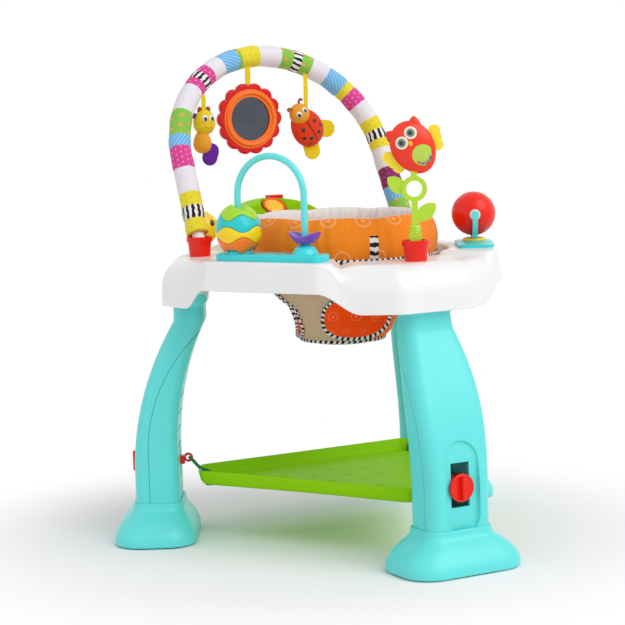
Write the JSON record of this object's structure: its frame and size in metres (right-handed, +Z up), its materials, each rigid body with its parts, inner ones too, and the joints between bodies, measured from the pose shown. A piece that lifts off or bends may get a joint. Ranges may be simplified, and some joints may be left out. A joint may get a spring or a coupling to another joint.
{
  "type": "baby jumper frame",
  "caption": "Baby activity jumper: round play tray on bowed legs with a turning fabric seat, an elastic-hung bounce platform, a padded toy bar and play toys.",
  "frame": {"origin": "middle of the outline, on the floor under the feet", "axes": "+Z up; -Y towards the viewer of the picture; -X towards the left leg; the seat axis is vertical at x = 0.0578 m"},
  "size_m": [0.6204, 0.7024, 0.7807],
  "materials": {
    "white_plastic": "moulded, satin gloss",
    "grey_plastic": "moulded, matt",
    "turquoise_plastic": "moulded, satin gloss",
    "pad_rubber": "matt",
    "red_plastic": "moulded, glossy",
    "elastic": "braided elastic",
    "lime_plastic": "moulded, satin gloss",
    "dark_plastic": "moulded, matt",
    "orange_fabric": "padded woven cloth",
    "sleeve_fabric": "patchwork cloth over foam",
    "teal_plastic": "moulded, glossy",
    "orange_plastic": "moulded, glossy",
    "yellow_plastic": "moulded, glossy",
    "purple_plastic": "moulded, glossy",
    "window_plastic": "clear tinted, glossy",
    "red_plush": "short plush",
    "yellow_plush": "short plush",
    "orange_plush": "short plush",
    "yellow_webbing": "woven webbing",
    "mirror_film": "polished"
  },
  "bodies": {
    "frame": {"tray_shell": "white_plastic", "tray_underside": "grey_plastic", "leg_left_shell": "turquoise_plastic", "leg_right_shell": "turquoise_plastic", "leg_rear_shell": "turquoise_plastic", "leg_left_cover": "turquoise_plastic", "leg_right_cover": "turquoise_plastic", "leg_rear_cover": "turquoise_plastic", "foot_left": "turquoise_plastic", "foot_right": "turquoise_plastic", "foot_rear": "turquoise_plastic", "foot_pads": "pad_rubber", "flower_pots": "red_plastic", "bar_tube": "white_plastic", "bar_sleeve": "sleeve_fabric", "bead_base": "teal_plastic", "bead_wire": "teal_plastic", "ball_base": "teal_plastic", "ball_ring": "yellow_plastic", "ball_fork": "teal_plastic", "music_body": "lime_plastic", "music_head": "yellow_plastic"},
    "slider_left": {"slider_left": "red_plastic", "cord_left": "elastic"},
    "knob_left": {"knob_left": "red_plastic"},
    "slider_right": {"slider_right": "red_plastic", "cord_right": "elastic"},
    "knob_right": {"knob_right": "red_plastic"},
    "slider_rear": {"slider_rear": "red_plastic", "cord_rear": "elastic"},
    "knob_rear": {"knob_rear": "red_plastic"},
    "platform": {"platform": "lime_plastic", "cord_stoppers": "dark_plastic"},
    "seat": {"seat_ring": "white_plastic", "seat_collar": "orange_fabric", "seat_sling": "orange_fabric"},
    "egg": {"egg_bottom": "orange_plastic", "egg_lower_band": "yellow_plastic", "egg_upper_band": "teal_plastic", "egg_top": "lime_plastic"},
    "bead": {"cup_bead": "purple_plastic"},
    "owl": {"owl_stem": "lime_plastic", "owl_body": "red_plastic", "owl_wings": "yellow_plastic", "owl_window": "window_plastic"},
    "ball": {"ball": "red_plastic"},
    "music_drum": {"music_drum": "yellow_plastic"},
    "music_key": {"music_key": "red_plastic"},
    "mirror": {"mirror_strap": "yellow_webbing", "mirror_frame": "red_plush", "mirror_ring": "orange_plastic", "mirror_glass": "mirror_film"},
    "ladybird": {"ladybird_strap": "yellow_webbing", "ladybird_body": "red_plush", "ladybird_head": "yellow_plush", "ladybird_wings": "yellow_plush"},
    "giraffe": {"giraffe_strap": "yellow_webbing", "giraffe_head": "yellow_plush", "giraffe_body": "orange_plush", "giraffe_teether": "purple_plastic"}
  },
  "joints": [
    {"name": "height_left", "type": "slide", "parent": "frame", "child": "slider_left", "axis": [0, 0, 1], "range_m": [-0.016, 0.024]},
    {"name": "knob_turn_left", "type": "hinge", "parent": "slider_left", "child": "knob_left", "pos_m": [-0.2722, 0, 0.124], "axis": [-1, 0, 0], "range_deg": [0, 90]},
    {"name": "height_right", "type": "slide", "parent": "frame", "child": "slider_right", "axis": [0, 0, 1], "range_m": [-0.016, 0.024]},
    {"name": "knob_turn_right", "type": "hinge", "parent": "slider_right", "child": "knob_right", "pos_m": [0.2228, -0.28579, 0.124], "axis": [0.5, -0.866, 0], "range_deg": [0, 90]},
    {"name": "height_rear", "type": "slide", "parent": "frame", "child": "slider_rear", "axis": [0, 0, 1], "range_m": [-0.016, 0.024]},
    {"name": "knob_turn_rear", "type": "hinge", "parent": "slider_rear", "child": "knob_rear", "pos_m": [0.2228, 0.28579, 0.124], "axis": [0.5, 0.866, 0], "range_deg": [0, 90]},
    {"name": "platform_bounce", "type": "slide", "parent": "slider_left", "child": "platform", "axis": [0, 0, 1], "range_m": [-0.04, 0.015], "stiffness_N_per_m": 600, "springref_m": 0.008, "deforming": ["cord_left", "cord_right", "cord_rear"]},
    {"name": "seat_turn", "type": "hinge", "parent": "frame", "child": "seat", "pos_m": [0.0578, 0, 0.433], "axis": [0, 0, 1], "continuous": true},
    {"name": "egg_spin", "type": "hinge", "parent": "frame", "child": "egg", "pos_m": [-0.09493, -0.14854, 0.5], "axis": [0, 0, 1], "continuous": true},
    {"name": "bead_slide", "type": "slide", "parent": "frame", "child": "bead", "axis": [0, 0, 1], "range_m": [0, 0.045]},
    {"name": "owl_sway", "type": "hinge", "parent": "frame", "child": "owl", "pos_m": [0.1688, -0.19226, 0.4858], "axis": [0, 1, 0], "range_deg": [-12, 12], "stiffness_Nm_per_rad": 2},
    {"name": "ball_spin", "type": "hinge", "parent": "frame", "child": "ball", "pos_m": [0.2688, 0, 0.504], "axis": [0, 1, 0], "continuous": true},
    {"name": "drum_press", "type": "slide", "parent": "frame", "child": "music_drum", "axis": [-0.3147, 0.545, -0.7771], "range_m": [0, 0.003], "stiffness_N_per_m": 500, "springref_m": -0.002},
    {"name": "key_press", "type": "slide", "parent": "frame", "child": "music_key", "axis": [0, 0, -1], "range_m": [0, 0.0025], "stiffness_N_per_m": 500, "springref_m": -0.002},
    {"name": "mirror_swing", "type": "hinge", "parent": "frame", "child": "mirror", "pos_m": [-0.0873, 0.19732, 0.74161], "axis": [-0.866, -0.5, 0], "range_deg": [-30, 30]},
    {"name": "ladybird_swing", "type": "hinge", "parent": "frame", "child": "ladybird", "pos_m": [0.00748, 0.24315, 0.72583], "axis": [-0.866, -0.5, 0], "range_deg": [-30, 30]},
    {"name": "giraffe_swing", "type": "hinge", "parent": "frame", "child": "giraffe", "pos_m": [-0.15806, 0.12989, 0.69442], "axis": [-0.866, -0.5, 0], "range_deg": [-30, 30]}
  ],
  "couplings": [
    {"joint": "height_right", "follows": "height_left", "ratio": 1},
    {"joint": "height_rear", "follows": "height_left", "ratio": 1}
  ]
}
